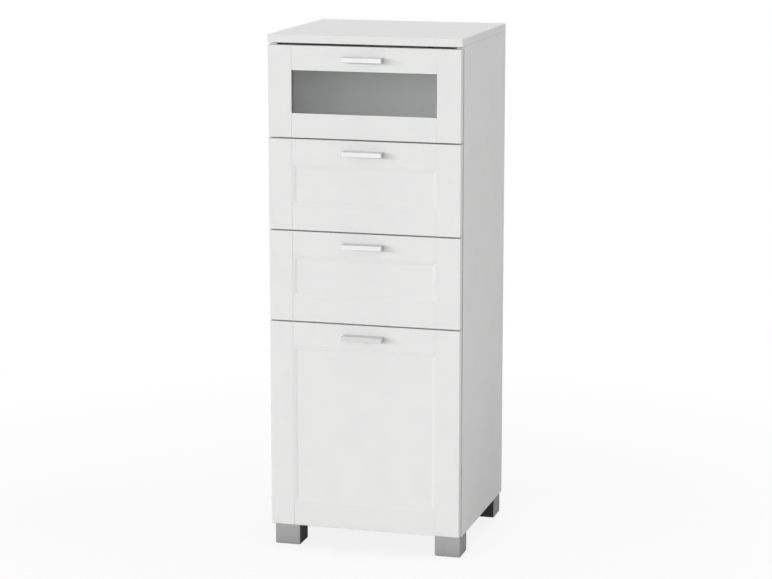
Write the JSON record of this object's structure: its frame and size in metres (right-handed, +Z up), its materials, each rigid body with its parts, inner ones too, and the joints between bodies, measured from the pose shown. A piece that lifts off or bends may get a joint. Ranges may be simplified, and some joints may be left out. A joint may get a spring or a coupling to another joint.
{
  "type": "tall bathroom cabinet",
  "caption": "Tall narrow white bathroom cabinet on square feet, with framed drawers on roller runners, one with a satin glass front, above a tilt-out laundry flap with a hamper.",
  "frame": {"origin": "on the floor, below the middle of the whole box, handles included", "axes": "+Z up, +X to the right seen from the front, the fronts face -Y"},
  "size_m": [0.4, 0.3958, 1.054],
  "materials": {
    "white_board": "white foil on particle board and MDF, satin",
    "hardboard": "thin hardboard, white inside, raw brown behind",
    "satin_glass": "grey satin glass",
    "chrome": "bright chrome plate",
    "silver_plastic": "silver lacquer, satin",
    "zinc_steel": "bright zinc plate",
    "white_steel": "white epoxy powder coat",
    "nylon": "moulded natural nylon"
  },
  "bodies": {
    "carcass": {"side_panel_left": "white_board", "side_panel_right": "white_board", "top_panel": "white_board", "bottom_panel": "white_board", "fixed_shelf": "white_board", "back_panel": "hardboard", "foot_front_left": "silver_plastic", "foot_front_right": "silver_plastic", "foot_rear_left": "silver_plastic", "foot_rear_right": "silver_plastic", "foot_screws": "zinc_steel", "cam_fittings": "zinc_steel", "flap_hinge_base_leaves": "zinc_steel", "flap_hinge_pins": "zinc_steel", "flap_stop_pegs": "zinc_steel", "lower_drawer_cabinet_runners": "white_steel", "middle_drawer_cabinet_runners": "white_steel", "top_drawer_cabinet_runners": "white_steel"},
    "lower_drawer": {"lower_drawer_front_stiles": "white_board", "lower_drawer_front_rails": "white_board", "lower_drawer_front_panel": "white_board", "lower_drawer_front_handle": "chrome", "lower_drawer_front_handle_screws": "zinc_steel", "lower_drawer_box_sides": "white_board", "lower_drawer_box_back": "white_board", "lower_drawer_box_bottom": "white_board", "lower_drawer_slide_runners": "white_steel"},
    "lower_drawer_front_rollers": {"lower_drawer_front_rollers": "nylon"},
    "lower_drawer_rear_rollers": {"lower_drawer_rear_rollers": "nylon"},
    "middle_drawer": {"middle_drawer_front_stiles": "white_board", "middle_drawer_front_rails": "white_board", "middle_drawer_front_panel": "white_board", "middle_drawer_front_handle": "chrome", "middle_drawer_front_handle_screws": "zinc_steel", "middle_drawer_box_sides": "white_board", "middle_drawer_box_back": "white_board", "middle_drawer_box_bottom": "white_board", "middle_drawer_slide_runners": "white_steel"},
    "middle_drawer_front_rollers": {"middle_drawer_front_rollers": "nylon"},
    "middle_drawer_rear_rollers": {"middle_drawer_rear_rollers": "nylon"},
    "top_drawer": {"top_drawer_front_stiles": "white_board", "top_drawer_front_rails": "white_board", "top_drawer_front_glass_pane": "satin_glass", "top_drawer_front_handle": "chrome", "top_drawer_front_handle_screws": "zinc_steel", "top_drawer_box_sides": "white_board", "top_drawer_box_back": "white_board", "top_drawer_box_bottom": "white_board", "top_drawer_slide_runners": "white_steel"},
    "top_drawer_front_rollers": {"top_drawer_front_rollers": "nylon"},
    "top_drawer_rear_rollers": {"top_drawer_rear_rollers": "nylon"},
    "flap": {"flap_stiles": "white_board", "flap_rails": "white_board", "flap_panel": "white_board", "flap_handle": "chrome", "flap_handle_screws": "zinc_steel", "flap_hinge_leaves": "zinc_steel", "hamper_sides": "white_board", "hamper_back": "white_board", "hamper_bottom": "white_board"}
  },
  "joints": [
    {"name": "lower_drawer_slide", "type": "slide", "parent": "carcass", "child": "lower_drawer", "axis": [0, -1, 0], "range_m": [0, 0.23]},
    {"name": "lower_drawer_front_roll", "type": "hinge", "parent": "carcass", "child": "lower_drawer_front_rollers", "pos_m": [0, -0.14215, 0.4998], "axis": [1, 0, 0], "continuous": true},
    {"name": "lower_drawer_rear_roll", "type": "hinge", "parent": "lower_drawer", "child": "lower_drawer_rear_rollers", "pos_m": [0, 0.12785, 0.4988], "axis": [1, 0, 0], "continuous": true},
    {"name": "middle_drawer_slide", "type": "slide", "parent": "carcass", "child": "middle_drawer", "axis": [0, -1, 0], "range_m": [0, 0.23]},
    {"name": "middle_drawer_front_roll", "type": "hinge", "parent": "carcass", "child": "middle_drawer_front_rollers", "pos_m": [0, -0.14215, 0.6863], "axis": [1, 0, 0], "continuous": true},
    {"name": "middle_drawer_rear_roll", "type": "hinge", "parent": "middle_drawer", "child": "middle_drawer_rear_rollers", "pos_m": [0, 0.12785, 0.6853], "axis": [1, 0, 0], "continuous": true},
    {"name": "top_drawer_slide", "type": "slide", "parent": "carcass", "child": "top_drawer", "axis": [0, -1, 0], "range_m": [0, 0.23]},
    {"name": "top_drawer_front_roll", "type": "hinge", "parent": "carcass", "child": "top_drawer_front_rollers", "pos_m": [0, -0.14215, 0.8728], "axis": [1, 0, 0], "continuous": true},
    {"name": "top_drawer_rear_roll", "type": "hinge", "parent": "top_drawer", "child": "top_drawer_rear_rollers", "pos_m": [0, 0.12785, 0.8718], "axis": [1, 0, 0], "continuous": true},
    {"name": "flap_tilt", "type": "hinge", "parent": "carcass", "child": "flap", "pos_m": [0, -0.15665, 0.05246], "axis": [1, 0, 0], "range_deg": [0, 30]}
  ],
  "couplings": [
    {"joint": "lower_drawer_front_roll", "follows": "lower_drawer_slide", "rad_per_m": 142.86},
    {"joint": "lower_drawer_rear_roll", "follows": "lower_drawer_slide", "rad_per_m": 142.86},
    {"joint": "middle_drawer_front_roll", "follows": "middle_drawer_slide", "rad_per_m": 142.86},
    {"joint": "middle_drawer_rear_roll", "follows": "middle_drawer_slide", "rad_per_m": 142.86},
    {"joint": "top_drawer_front_roll", "follows": "top_drawer_slide", "rad_per_m": 142.86},
    {"joint": "top_drawer_rear_roll", "follows": "top_drawer_slide", "rad_per_m": 142.86}
  ]
}
